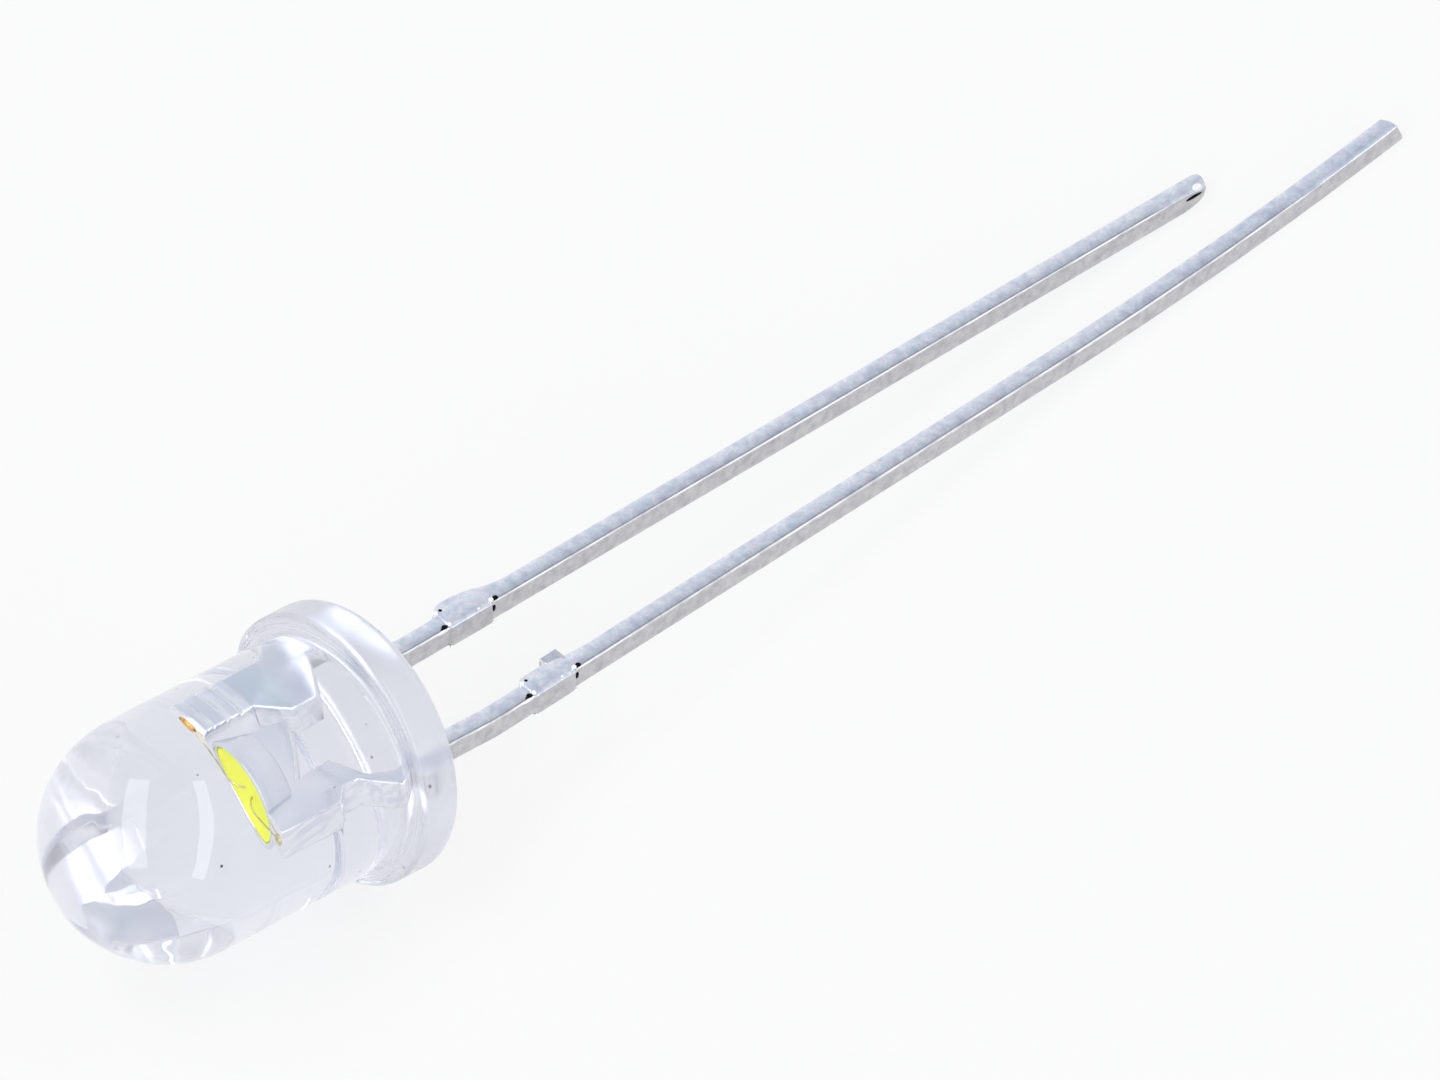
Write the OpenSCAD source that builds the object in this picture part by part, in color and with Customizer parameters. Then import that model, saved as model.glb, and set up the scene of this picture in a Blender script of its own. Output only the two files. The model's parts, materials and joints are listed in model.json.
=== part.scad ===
// Round 5 mm through-hole LED with a water-clear epoxy lens and two long tinned leads.
// The LED is drawn along X: dome towards -X, lead tips towards +X, the rear face of the flange
// at x = 0, the leads side by side along Y, the stamped sheet's faces towards +Z and -Z.
// The whole is then tipped to lie as it does on a bench, on the flange's rim and both tips,
// with the centre of the flange's rear face kept at the origin.

/* [Lens] */
// Diameter of the barrel and the dome
lens_d = 5.0; // [4.6:0.1:5.2]
// Length from the flange's rear face to the tip of the dome
body_len = 7.65; // [7.2:0.05:9]

/* [Flange] */
// Diameter of the flange
flange_d = 5.8; // [5.6:0.1:6.4]
// Thickness of the flange
flange_t = 1.0; // [0.8:0.1:1.4]
// Height of the step between the barrel and the flat beside the short lead
flat_step = 0.05; // [0.03:0.01:0.1]
// Radius of the flange's rear edge
rear_edge_r = 0.25; // [0.1:0.05:0.35]
// Radius of the flange's front edge
front_edge_r = 0.08; // [0.04:0.02:0.14]

/* [Leads] */
// Distance between the two leads where they leave the lens
lead_pitch = 2.54; // [2.5:0.01:2.7]
// Width of a lead, across the strip
lead_w = 0.40; // [0.36:0.01:0.46]
// Thickness of the stamped sheet
sheet_t = 0.50; // [0.42:0.01:0.54]
// Chamfer along the edges of a lead
lead_edge = 0.04; // [0.02:0.01:0.07]
// Length of the short lead behind the flange
short_len = 24.1; // [20:0.1:28]
// Length of the long lead behind the flange
long_len = 28.1; // [26:0.1:32]
// Straight length of each lead before its bend
bend_at = 2.05; // [2.02:0.01:2.3]
// Inside radius of the bends
bend_r = 4; // [2:0.5:6]
// Upward bend of the short lead, in degrees
short_bend = 3.90; // [3.2:0.05:5]
// Angle by which the long lead leans towards the short one, in degrees
toe_in = 2.25; // [0.5:0.05:3]
// Length of the curled end of the long lead
curl_len = 10; // [9:0.5:12]
// Radius of that curl
curl_r = 73.5; // [60:0.5:76]
// Radius rolled over the upper edge of a lead's cut tip
tip_roll = 0.14; // [0.06:0.02:0.18]
// Bevel on the lower edge of a lead's cut tip
tip_bevel = 0.05; // [0.02:0.01:0.08]

/* [Cut dam bar] */
// Distance from the flange to the middle of the dam bar's remains
dam_at = 3.92; // [3.8:0.02:6]
// Length of the remains along the lead
dam_len = 1.05; // [0.7:0.05:1.2]
// Height of the land left on the short lead's outer side
land_out = 0.24; // [0.1:0.02:0.3]
// Height of the land left on every other side
land_in = 0.05; // [0.03:0.01:0.08]
// Height by which the remains stand above the sheet's faces
land_lift = 0.03; // [0.01:0.01:0.05]
// Length along the lead of the stub left on the long lead
stub_len = 0.44; // [0.3:0.02:0.6]
// Height of that stub
stub_h = 0.30; // [0.14:0.02:0.4]

/* [Reflector cup] */
// Distance from the flange's rear face to the cup's mouth
cup_at = 3.70; // [3.6:0.05:4.1]
// Radius of the cup at its mouth
cup_mouth_r = 0.62; // [0.55:0.01:0.68]
// Radius of the cup's floor
cup_floor_r = 0.40; // [0.32:0.01:0.44]
// Depth of the cup
cup_depth = 0.42; // [0.35:0.01:0.46]
// Wall of the cup at its mouth
cup_wall = 0.08; // [0.06:0.01:0.1]
// Thickness of the metal under the cup's floor
cup_base = 0.33; // [0.26:0.01:0.4]
// Distance by which the phosphor stops short of the cup's mouth
fill_drop = 0.08; // [0.04:0.01:0.12]

/* [Post] */
// Gap between the cup and the post
post_gap = 0.10; // [0.08:0.01:0.2]
// Width of the post's head
post_w = 0.48; // [0.3:0.02:0.5]
// Distance by which the post's end lies behind the cup's mouth
post_drop = 0.02; // [0:0.01:0.1]
// Depth of the clamp marks across the post's head
mark_depth = 0.03; // [0.02:0.01:0.05]

/* [Chip and wires] */
// Side of the square chip
chip_side = 0.30; // [0.24:0.01:0.34]
// Thickness of the chip
chip_t = 0.10; // [0.08:0.01:0.14]
// Thickness of the glue under the chip
glue_t = 0.02; // [0.01:0.005:0.03]
// Width of the glue that shows around the chip
glue_margin = 0.03; // [0.01:0.01:0.05]
// Thickness of the gold wires
wire_d = 0.034; // [0.03:0.002:0.04]
// Diameter of the ball at a wire's first bond
ball_d = 0.09; // [0.07:0.01:0.1]
// Thickness of that ball
ball_t = 0.03; // [0.02:0.005:0.04]
// Radius of the bend at the top of a wire's loop
loop_r = 0.25; // [0.2:0.01:0.27]
// Slope of a wire's fall to its second bond, in degrees
wire_fall = 10; // [9:1:14]

/* [Hidden] */
$fn = 96;
fine = 1440;            // segments in a full turn of a gentle bend
cut = 0.01;             // how far cutting shapes pass the faces they cut
lap = 0.02;             // how far straight stretches run into the bends
thin = 0.005;           // how much of each face the strip loses where it is bent
tip_len = 0.45;         // length of the shaped piece at a lead's tip

lens_r = lens_d / 2;
flange_r = flange_d / 2;
flat_at = lens_r + flat_step;
lead_y = lead_pitch / 2;
lead_in_y = lead_y - lead_w / 2;
lead_out_y = lead_y + lead_w / 2;
half_t = sheet_t / 2;
mid_r = bend_r + half_t; // radius of a bend at the middle of the sheet

// Inside the lens, x runs from the seat towards the dome, so every station is negative
cup_taper = 0.09;       // how much the cup's outside narrows towards its foot
bond_in = 0.17;         // distance of the post's bond from the post's inner edge
bond_out = 0.26;        // distance of the anvil's bond from the cup
mark_w = 0.08;          // width of a clamp mark
mark_pitch = 0.35;      // distance from one clamp mark to the next
shoulder_drop = 0.01;   // how far the anvil's shoulder lies behind the cup's mouth
shoulder_y = 1.17;      // distance of the shoulder's outer side from the axis
waist_y = 0.89;         // distance of the anvil's waist from the axis, beside its foot
waist_x = [-1.5, -1.9]; // where the waist begins and ends
waist_run = 0.25;       // run of the slope from the waist to the shoulder
foot_run = 0.7;         // length of the anvil's foot at the lead's own width, outside
knee_x = [-1.25, -1.8]; // where the anvil's inner side leaves the lead and reaches its knee
knee_y = 0.33;          // distance of the knee from the axis
knee_top = 0.4;         // length of the knee's top
crook_x = 0.25;         // how far the inner corner lies behind the cup's foot
crook_y = 0.37;         // distance of that corner from the axis, on the anvil's side
heel_x = 1.01;          // how far the heel reaches behind the cup's foot
heel_y = 0.50;          // distance of the heel from the axis, on the post's side
flag_x = 1.1;           // distance of the flag's lead-side corners from the flange's rear face
flag_y = 0.55;          // distance of the flag's inner side from the axis
flag_lean = 0.2;        // half the run of the flag's outer slope
flag_end = 1.2;         // how far the flag's inner side ends behind the cup's foot
flag_run = 0.6;         // run of the slope from there to the head
root_x = 0.5;           // distance over which the short lead keeps its width inside the lens
pad_y = 0.08;           // distance of each of the chip's pads from its middle
cup_out_r = cup_mouth_r + cup_wall;
cup_foot_r = cup_out_r - cup_taper;
cup_mouth_x = -cup_at;
cup_floor_x = cup_mouth_x + cup_depth;
cup_foot_x = cup_floor_x + cup_base;
fill_x = cup_mouth_x + fill_drop;
chip_top_x = cup_floor_x - glue_t - chip_t;
post_end_x = cup_mouth_x + post_drop;
post_in_y = cup_out_r + post_gap;
post_out_y = post_in_y + post_w;

// ---- how the LED lies ---------------------------------------------------------------------

// A vector turned by an angle
function turned(p, a) = [p[0] * cos(a) - p[1] * sin(a), p[0] * sin(a) + p[1] * cos(a)];

// Length of the strip taken up by a bend
function bent_len(a) = mid_r * a * PI / 180;

// The short lead's lowest corner, [x, z]: turned about the centre of the bend
short_run = short_len - bend_at - bent_len(short_bend);
short_low = [bend_at, mid_r] + turned([short_run - tip_bevel, -mid_r - half_t], short_bend);

// The surface touches the rounded rear edge of the flange and that corner
rim_r = flange_r - rear_edge_r;
contact = [short_low[0] + rear_edge_r, short_low[1] + rim_r];
tilt = atan2(contact[1], contact[0]) + asin(rear_edge_r / norm(contact));
seat_h = rim_r * cos(tilt) - rear_edge_r * sin(tilt) + rear_edge_r;

// The long lead turns sideways, then bends up until the underside of its curl meets the surface
long_start = bend_at + mid_r * sin(toe_in);
long_run = long_len - bend_at - bent_len(toe_in + short_bend) - curl_len;
curl_a = curl_len / curl_r * 180 / PI;
curl_c = [long_run, curl_r - mid_r]; // the curl's centre from the bend's, before the bend
down = [sin(tilt) * cos(toe_in), -cos(tilt)];
reach = seat_h - long_start * sin(tilt) - down[1] * mid_r
    - norm(down) * (curl_r + half_t - thin);
long_bend = atan2(down[1], down[0]) - atan2(curl_c[1], curl_c[0])
    + acos(reach / (norm(down) * norm(curl_c)));

module lying() {
    rotate([0, tilt, 0]) children();
}

// ---- strip: straight pieces and bends, always starting at the origin and heading along +X ----

module straight(len) {
    rotate([90, 0, 90]) linear_extrude(len) children();
}

// A bend towards +Y in the sheet's plane
module bend_side(r, a) {
    translate([0, r, 0]) rotate([0, 0, -90]) rotate_extrude(angle = a, $fn = fine)
        translate([r, 0]) children();
}

module after_side(r, a) {
    translate([r * sin(a), r * (1 - cos(a)), 0]) rotate([0, 0, a]) children();
}

// A bend towards +Z out of the sheet's plane
module bend_up(r, a) {
    translate([0, 0, r]) rotate([90, 0, 0]) rotate([0, 0, -90])
        rotate_extrude(angle = a, $fn = fine) translate([r, 0]) rotate(90) children();
}

module after_up(r, a) {
    translate([r * sin(a), 0, r * (1 - cos(a))]) rotate([0, -a, 0]) children();
}

// ---- lens ---------------------------------------------------------------------------------

// One corner of the flange's half section, to be removed: the square less its quarter circle
module sharp_corner(r) {
    difference() {
        square(r + cut);
        circle(r);
    }
}

module flange_section() {
    difference() {
        square([flange_r, flange_t]);
        translate([flange_r - rear_edge_r, rear_edge_r]) mirror([0, 1]) sharp_corner(rear_edge_r);
        translate([flange_r - front_edge_r, flange_t - front_edge_r]) sharp_corner(front_edge_r);
    }
}

// The casting's outside, before what it encloses is taken out
module lens_outside() {
    dome_at = body_len - lens_r;
    difference() {
        rotate([0, -90, 0]) union() {
            rotate_extrude() flange_section();
            cylinder(h = dome_at, r = lens_r);
            translate([0, 0, dome_at]) sphere(lens_r);
        }
        // the flat that marks the short lead
        translate([-flange_t - cut, flat_at, -flange_r])
            cube([flange_t + 2 * cut, flange_r, flange_d]);
    }
}

module lens_body() {
    color([0.86, 0.87, 0.93, 0.35]) lying() difference() {
        lens_outside();
        anvil_solid();
        fill_cavity();
        post_solid();
        post_wire_solid();
        anvil_wire_solid();
    }
}

// ---- leads outside the lens -----------------------------------------------------------------

// Section of a lead: a rectangle with chamfered corners
module lead_section(less = 0) {
    w = lead_w / 2 - less;
    t = half_t - less;
    c = lead_edge;
    polygon([[-w + c, -t], [w - c, -t], [w, -t + c], [w, t - c],
             [w - c, t], [-w + c, t], [-w, t - c], [-w, -t + c]]);
}

// A straight stretch of lead, lapping the bends at both its ends
module strip(len) {
    translate([-lap, 0, 0]) straight(len + 2 * lap) lead_section();
}

// The last stretch of a lead, its cut end at x = 0: rolled over above, bevelled below
module lead_tip() {
    step = 15;
    intersection() {
        translate([-tip_len, 0, 0]) straight(tip_len) lead_section();
        rotate([90, 0, 0]) linear_extrude(lead_w + cut, center = true)
            polygon(concat(
                [[-tip_len - cut, half_t], [-tip_len - cut, -half_t], [-tip_bevel, -half_t],
                 [0, -half_t + tip_bevel]],
                [for (a = [0 : step : 90]) [-tip_roll + tip_roll * cos(a),
                                            half_t - tip_roll + tip_roll * sin(a)]]));
    }
}

// What the punch left of the dam bar: a land along one or both sides of the lead
module dam_land(out, inn) {
    half = dam_len / 2;
    slope = 0.6;        // run of a land's sloping end for its height
    w = lead_w / 2;
    linear_extrude(sheet_t + 2 * land_lift, center = true)
        polygon([[-half - slope * out, w - lead_edge], [-half + slope * out, w + out],
                 [half - slope * out, w + out], [half + slope * out, w - lead_edge],
                 [half + slope * inn, lead_edge - w], [half - slope * inn, -w - inn],
                 [-half + slope * inn, -w - inn], [-half - slope * inn, lead_edge - w]]);
}

module post_run() {
    strip(bend_at);
    translate([bend_at, 0, 0]) {
        bend_up(mid_r, short_bend) lead_section(thin);
        after_up(mid_r, short_bend) {
            strip(short_run - tip_len / 2);
            translate([short_run, 0, 0]) lead_tip();
            translate([dam_at - bend_at - bent_len(short_bend), 0, 0])
                dam_land(land_out, land_in);
        }
    }
}

module anvil_run() {
    strip(bend_at);
    translate([bend_at, 0, 0]) {
        bend_side(mid_r, toe_in) lead_section(thin);
        after_side(mid_r, toe_in) {
            strip(0);
            bend_up(mid_r, long_bend) lead_section(thin);
            after_up(mid_r, long_bend) {
                strip(long_run);
                translate([dam_at - bend_at - bent_len(toe_in + long_bend), 0, 0]) {
                    dam_land(land_in, land_in);
                    translate([-stub_len / 2, 0, -half_t])
                        cube([stub_len, lead_w / 2 + stub_h, sheet_t]);
                }
                translate([long_run, 0, 0]) {
                    bend_up(curl_r, curl_a - tip_len / 2 / curl_r * 180 / PI) lead_section(thin);
                    after_up(curl_r, curl_a) lead_tip();
                }
            }
        }
    }
}

// ---- lead frame inside the lens -----------------------------------------------------------------

// A solid of revolution along the axis: from x1 back to x0, radius r1 at x1 and r0 at x0
module axial(x0, r0, x1, r1) {
    translate([x1, 0, 0]) rotate([0, -90, 0]) cylinder(h = x1 - x0, r1 = r1, r2 = r0);
}

module cup_cavity() {
    axial(cup_mouth_x, cup_mouth_r, cup_floor_x, cup_floor_r);
}

// What the phosphor and what it covers take up
module fill_cavity() {
    intersection() {
        cup_cavity();
        translate([fill_x, -cup_mouth_r, -cup_mouth_r]) cube([cup_depth, 2 * cup_mouth_r, 2 * cup_mouth_r]);
    }
}

// The anvil's outline, once round from the lead's outer edge
module anvil_outline() {
    shoulder_x = cup_mouth_x + shoulder_drop;
    outer = [[0, -lead_out_y], [-foot_run, -lead_out_y], [waist_x[0], -waist_y],
             [waist_x[1], -waist_y], [waist_x[1] - waist_run, -shoulder_y],
             [shoulder_x, -shoulder_y], [shoulder_x, -cup_mouth_r]];
    under_cup = [[cup_foot_x - cup_base / 2, 0], [cup_foot_x, cup_foot_r - cut]];
    inner = [[cup_foot_x + heel_x, heel_y], [cup_foot_x + crook_x, -crook_y],
             [knee_x[1] - knee_top, -knee_y], [knee_x[1], -knee_y], [knee_x[0], -waist_y],
             [-foot_run, -lead_in_y], [0, -lead_in_y]];
    polygon(concat(outer, under_cup, inner));
}

module anvil_solid() {
    difference() {
        union() {
            linear_extrude(sheet_t, center = true) anvil_outline();
            axial(cup_mouth_x, cup_out_r, cup_foot_x, cup_foot_r);
            translate([0, -lead_y, 0]) anvil_run();
        }
        cup_cavity();
    }
}

// The post's outline, once round from the lead's inner edge
module post_outline() {
    flag_end_x = cup_foot_x + flag_end;
    polygon([[0, lead_in_y], [-root_x, lead_in_y], [-flag_x, flag_y], [flag_end_x, flag_y],
             [flag_end_x - flag_run, post_in_y], [post_end_x, post_in_y], [post_end_x, post_out_y],
             [-flag_x - flag_lean, post_out_y], [-flag_x + flag_lean, lead_out_y], [0, lead_out_y]]);
}

module post_solid() {
    difference() {
        union() {
            linear_extrude(sheet_t, center = true) post_outline();
            translate([0, lead_y, 0]) post_run();
        }
        // marks of the clamp that holds the post while the wire is bonded
        for (i = [1 : 3])
            translate([post_end_x + mark_pitch * i - mark_w, post_in_y - cut, half_t - mark_depth])
                cube([mark_w, post_w + 2 * cut, mark_depth + cut]);
    }
}

module anvil_lead() {
    color([0.72, 0.73, 0.76]) lying() anvil_solid();
}

module post_lead() {
    color([0.72, 0.73, 0.76]) lying() post_solid();
}

// ---- chip, glue, wires and phosphor -------------------------------------------------------------

module glue_solid() {
    s = chip_side + 2 * glue_margin;
    translate([cup_floor_x - glue_t, -s / 2, -s / 2]) cube([glue_t, s, s]);
}

module chip_solid() {
    translate([chip_top_x, -chip_side / 2, -chip_side / 2]) cube([chip_t, chip_side, chip_side]);
}

// Eight-sided section of a wire
module wire_section(less = 0) {
    rotate(22.5) circle(r = (wire_d / 2 - less) / cos(22.5), $fn = 8);
}

// A bonded wire, drawn as if the dome lay towards +X: up from its ball, over, down to its foot
module bonded_wire(from, to) {
    top_a = 90 + wire_fall;
    rise_y = from[1];
    span = to[1] - rise_y - loop_r * (1 - cos(top_a));
    fall = span / sin(top_a);
    foot_x = to[0] + wire_d / 2;
    bend_x = foot_x - loop_r * sin(top_a) - fall * cos(top_a);
    // ball
    translate([from[0], rise_y, 0]) rotate([0, 90, 0]) cylinder(h = ball_t, d = ball_d, $fn = 12);
    // rise
    translate([from[0], rise_y, 0]) straight(bend_x - from[0] + lap / 2) wire_section();
    // loop and fall
    translate([bend_x, rise_y, 0]) {
        bend_side(loop_r, top_a) wire_section(thin / 3);
        after_side(loop_r, top_a) translate([-lap / 2, 0, 0])
            straight(fall + lap / 2) wire_section();
    }
    // foot, pressed flat
    foot_len = 3 * wire_d;
    translate([0, 0, -wire_d]) linear_extrude(2 * wire_d)
        polygon([[to[0], to[1] - foot_len / 2], [foot_x, to[1] - foot_len / 4],
                 [foot_x, to[1] + foot_len / 6], [to[0] + wire_d / 4, to[1] + foot_len],
                 [to[0], to[1] + foot_len]]);
}

module post_wire_solid() {
    mirror([1, 0, 0]) bonded_wire([-chip_top_x, pad_y], [-post_end_x, post_in_y + bond_in]);
}

module anvil_wire_solid() {
    mirror([1, 0, 0]) mirror([0, 1, 0])
        bonded_wire([-chip_top_x, pad_y], [-cup_mouth_x - shoulder_drop, cup_out_r + bond_out]);
}

module phosphor_fill() {
    color([0.95, 0.95, 0.15]) lying() difference() {
        fill_cavity();
        glue_solid();
        chip_solid();
        post_wire_solid();
        anvil_wire_solid();
    }
}

module led_chip() {
    color([0.75, 0.8, 0.9]) lying() chip_solid();
}

module die_attach() {
    color([0.85, 0.85, 0.8]) lying() glue_solid();
}

module post_wire() {
    color("gold") lying() post_wire_solid();
}

module anvil_wire() {
    color("gold") lying() anvil_wire_solid();
}

lens_body();
anvil_lead();
post_lead();
phosphor_fill();
led_chip();
die_attach();
post_wire();
anvil_wire();
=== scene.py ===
import json
import math

import bpy
import numpy as np
from mathutils import Matrix, Vector


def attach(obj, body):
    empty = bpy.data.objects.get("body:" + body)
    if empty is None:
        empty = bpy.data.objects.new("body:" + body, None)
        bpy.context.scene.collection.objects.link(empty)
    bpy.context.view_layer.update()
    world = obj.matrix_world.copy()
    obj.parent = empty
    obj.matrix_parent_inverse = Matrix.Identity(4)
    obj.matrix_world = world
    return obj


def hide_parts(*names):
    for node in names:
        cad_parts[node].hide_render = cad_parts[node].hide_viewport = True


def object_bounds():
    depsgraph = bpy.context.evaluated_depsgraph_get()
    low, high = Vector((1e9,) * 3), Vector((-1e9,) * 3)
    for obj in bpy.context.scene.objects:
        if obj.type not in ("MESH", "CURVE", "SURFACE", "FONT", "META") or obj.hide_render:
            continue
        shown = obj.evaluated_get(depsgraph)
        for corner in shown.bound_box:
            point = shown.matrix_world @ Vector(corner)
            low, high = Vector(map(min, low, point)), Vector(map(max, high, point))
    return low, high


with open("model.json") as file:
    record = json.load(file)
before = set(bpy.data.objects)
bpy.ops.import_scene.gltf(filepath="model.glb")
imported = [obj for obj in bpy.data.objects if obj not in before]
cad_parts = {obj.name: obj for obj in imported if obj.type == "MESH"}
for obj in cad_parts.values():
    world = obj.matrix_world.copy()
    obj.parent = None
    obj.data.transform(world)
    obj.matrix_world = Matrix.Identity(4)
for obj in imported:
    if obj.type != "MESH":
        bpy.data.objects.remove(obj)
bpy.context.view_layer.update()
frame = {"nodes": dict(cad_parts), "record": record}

MM = 0.001
MOUNTS = {m["name"]: m for m in frame["record"]["mounts"]}
AXIS = Vector(MOUNTS["flange_seat"]["axis"])
TILT = math.atan2(-AXIS.z, AXIS.x)      # the LED's own axis dips by this angle towards the tips


# ---- helpers ------------------------------------------------------------------------------------

def srgb(code, alpha=1.0):
    """A hex colour such as "c8cad0" as the linear colour that Blender's sockets take."""
    c = np.array([int(code[i:i + 2], 16) / 255 for i in (0, 2, 4)])
    linear = np.where(c <= 0.04045, c / 12.92, ((c + 0.055) / 1.055) ** 2.4)
    return (*linear.tolist(), alpha)


def lie(points):
    """Points in the LED's own frame, in mm, to the row frame in metres.

    x' = x cos t + z sin t, y' = y, z' = -x sin t + z cos t, with t = TILT, all times 0.001.
    """
    p = np.asarray(points, float).reshape(-1, 3)
    c, s = math.cos(TILT), math.sin(TILT)
    return np.stack([p[:, 0] * c + p[:, 2] * s, p[:, 1], -p[:, 0] * s + p[:, 2] * c], -1) * MM


def ripple(p, wave, seed=0.0):
    """Smooth pseudo-random field between about -1 and 1: the mean of six slanted sines.

    f(p) = mean_k sin(2 pi (d_k . p) / (wave w_k) + phase_k)
    """
    k = np.arange(6)
    a, b = 2.4 * k + seed, 1.1 + 0.7 * np.sin(3.7 * k + seed)
    d = np.stack([np.cos(a) * np.sin(b), np.sin(a) * np.sin(b), np.cos(b)])
    waves = np.asarray(p, float) @ d / (wave * (0.7 + 0.13 * k))
    return np.sin(2 * np.pi * waves + 5.1 * k + 2.3 * seed).mean(-1)


def mesh_object(name, points, faces, sharp, trim=None):
    """A smooth-shaded object from points in mm in the LED's frame.

    Edges over `sharp` degrees stay sharp; trim, one number a point, goes into the attribute that
    the metals read.
    """
    me = bpy.data.meshes.new(name)
    me.from_pydata(lie(points).tolist(), [], faces)
    me.update()
    me.shade_smooth()
    me.set_sharp_from_angle(angle=math.radians(sharp))
    if trim is not None:
        me.attributes.new("trim", "FLOAT", "POINT").data.foreach_set("value", trim)
    ob = bpy.data.objects.new(name, me)
    bpy.context.scene.collection.objects.link(ob)
    return ob


def quads(rows, cols):
    """Faces between rings: point j of ring i, its neighbour, and the same two on the next ring."""
    i = np.arange(rows - 1)[:, None] * cols
    j = np.arange(cols)[None, :]
    k = (j + 1) % cols
    return np.stack([i + j, i + k, i + k + cols, i + j + cols], -1).reshape(-1, 4).tolist()


def capped(rings):
    """A closed shell from rings, an array [ring, point, xyz]; one flat face closes each end."""
    rows, cols = rings.shape[:2]
    last = (rows - 1) * cols
    ends = [list(range(cols - 1, -1, -1)), list(range(last, last + cols))]
    return rings.reshape(-1, 3), quads(rows, cols) + ends


def flipped(shell):
    """The same shell with its faces turned round, for one that was mirrored."""
    points, faces = shell
    return points, [f[::-1] for f in faces]


def join(parts):
    """Several (shell, trim) as one: points, faces and the trim of each point."""
    sizes = [len(shell[0]) for shell, trim in parts]
    starts = np.cumsum([0] + sizes[:-1]).tolist()
    faces = [[i + start for i in face]
             for (shell, trim), start in zip(parts, starts) for face in shell[1]]
    trims = [np.broadcast_to(trim, n) for (shell, trim), n in zip(parts, sizes)]
    points = np.concatenate([shell[0] for shell, trim in parts])
    return points, faces, np.concatenate(trims).astype(float)


def revolve(profile, n):
    """A surface of revolution about X, from one pole to the other.

    P(i, j) = (x_i, r_i cos a_j, r_i sin a_j) with a_j = 2 pi j / n; the first and last [x, r] are
    the poles.
    """
    x, r = np.asarray(profile, float).T
    a = 2 * np.pi * np.arange(n) / n
    mid_x, mid_r = x[1:-1, None], r[1:-1, None]
    rings = np.stack([mid_x + 0 * a, mid_r * np.cos(a), mid_r * np.sin(a)], -1)
    rows = len(x) - 2
    j, k, pole = np.arange(n), (np.arange(n) + 1) % n, rows * n
    first = np.stack([k, j, 0 * j + pole], -1).tolist()
    last = np.stack([pole - n + j, pole - n + k, 0 * j + pole + 1], -1).tolist()
    points = np.concatenate([rings.reshape(-1, 3), [(x[0], 0, 0), (x[-1], 0, 0)]])
    return points, quads(rows, n) + first + last


def arc(centre, r, a0, a1, n):
    """n + 1 points of an arc: centre + r (cos a, sin a), a from a0 to a1 degrees."""
    a = np.radians(np.linspace(a0, a1, n + 1))
    return np.stack([centre[0] + r * np.cos(a), centre[1] + r * np.sin(a)], -1)


def inset(outline, d):
    """A closed counter-clockwise outline moved inwards by d.

    Each corner moves along its mitre (n1 + n2) / (1 + n1.n2), from the normals of its two sides.
    """
    e = np.roll(outline, -1, 0) - outline
    n = np.stack([-e[:, 1], e[:, 0]], -1) / np.linalg.norm(e, axis=1)[:, None]
    before = np.roll(n, 1, 0)
    return outline + d * (n + before) / (1 + np.sum(n * before, 1))[:, None]


def plate(outline, z0, z1, edge, steps=3):
    """A plate with the outline [x, y], from z0 to z1, its long edges rounded to the radius edge.

    Ring k of a rounded edge is inset by edge (1 - sin a) at the height edge (1 - cos a) over the
    face.
    """
    p = np.asarray(outline, float)
    area = np.sum(p[:, 0] * np.roll(p[:, 1], -1) - np.roll(p[:, 0], -1) * p[:, 1])
    p = p if area > 0 else p[::-1]
    a = np.linspace(0, np.pi / 2, steps + 1)
    insets = edge * (1 - np.sin(a))
    rise = edge * (1 - np.cos(a))
    insets = np.concatenate([insets, insets[::-1]])
    heights = np.concatenate([z0 + rise, z1 - rise[::-1]])
    rings = np.stack([np.c_[inset(p, d), np.full(len(p), z)] for d, z in zip(insets, heights)])
    return capped(rings)


def bead(centre, radii, n=14):
    """An ellipsoid about a centre: P(a, b) = c + (rx cos a, ry sin a cos b, rz sin a sin b)."""
    a = np.linspace(0, np.pi, n)
    p, f = revolve(np.stack([-np.cos(a), np.sin(a)], -1), 2 * n)
    return np.asarray(centre, float) + p * np.asarray(radii, float), f


# ---- sizes of the LED, in mm --------------------------------------------------------------------

LENS_R, LENS_LEN = 2.5, 7.65                        # dome and barrel, and the whole body's length
FLANGE_R, FLANGE_T, FLAT_Y = 2.9, 1.0, 2.69         # flange, and how far off the axis its flat lies
REAR_R, FRONT_R, FILLET_R = 0.25, 0.14, 0.12        # its rear and front edge, and the barrel's foot
LEAD_Y, HALF_W, HALF_T = 1.27, 0.20, 0.25           # a lead's middle, and half of its section
BEND_AT, MID_R, CURL_R = 2.05, 4.25, 73.5           # where the leads bend, and to which radii
# A lead: its length, its lean and its bend in degrees, the length of its curled end, the width of
# its land and the run over which that rises
SHORT = dict(y=LEAD_Y, length=24.1, toe=0.0, bend=3.90, curl=0.0, land=0.24, steep=0.45)
LONG = dict(y=-LEAD_Y, length=28.1, toe=2.25, bend=3.345, curl=10.0, land=0.12, steep=0.20)
# The land: its middle, its reach towards the body and the tip, the run of its tail, its inner
# side's height and its lift over the faces
DAM_AT, LAND_BODY, LAND_TIP, LAND_TAIL, LAND_IN, LAND_LIFT = 3.92, 0.66, 0.45, 1.4, 0.05, 0.03
TIP_DRAW, BURR_R = 0.7, 0.06                        # length of a drawn tip, and a burr's radius
TOP_FALL, SWELL = 0.025, 0.008                      # the upper face's fall, the faces' swelling
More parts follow.
